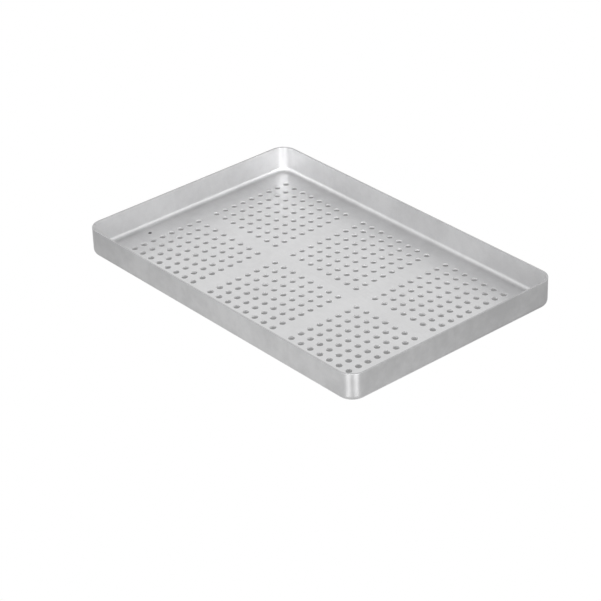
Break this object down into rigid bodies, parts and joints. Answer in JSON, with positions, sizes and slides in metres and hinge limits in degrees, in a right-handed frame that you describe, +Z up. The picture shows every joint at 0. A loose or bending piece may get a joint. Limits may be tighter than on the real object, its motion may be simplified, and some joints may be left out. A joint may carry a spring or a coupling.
{
  "type": "perforated sterilization tray",
  "caption": "Shallow open rectangular tray drawn from one aluminium sheet, with a floor punched in blocks of round holes, rounded corners and a plain rim.",
  "frame": {"origin": "on the table, under the middle of the tray's underside", "axes": "+X along the long side, +Y along the short side towards the back, +Z up out of the open top"},
  "size_m": [0.285, 0.19, 0.0215],
  "materials": {
    "satin_aluminium": "fine satin, clear anodised, inside and outside alike"
  },
  "bodies": {
    "root": {"perforated_floor": "satin_aluminium", "left_wall": "satin_aluminium", "front_wall": "satin_aluminium", "right_wall": "satin_aluminium", "back_wall": "satin_aluminium", "front_left_corner": "satin_aluminium", "front_right_corner": "satin_aluminium", "back_right_corner": "satin_aluminium", "back_left_corner": "satin_aluminium"}
  },
  "joints": []
}
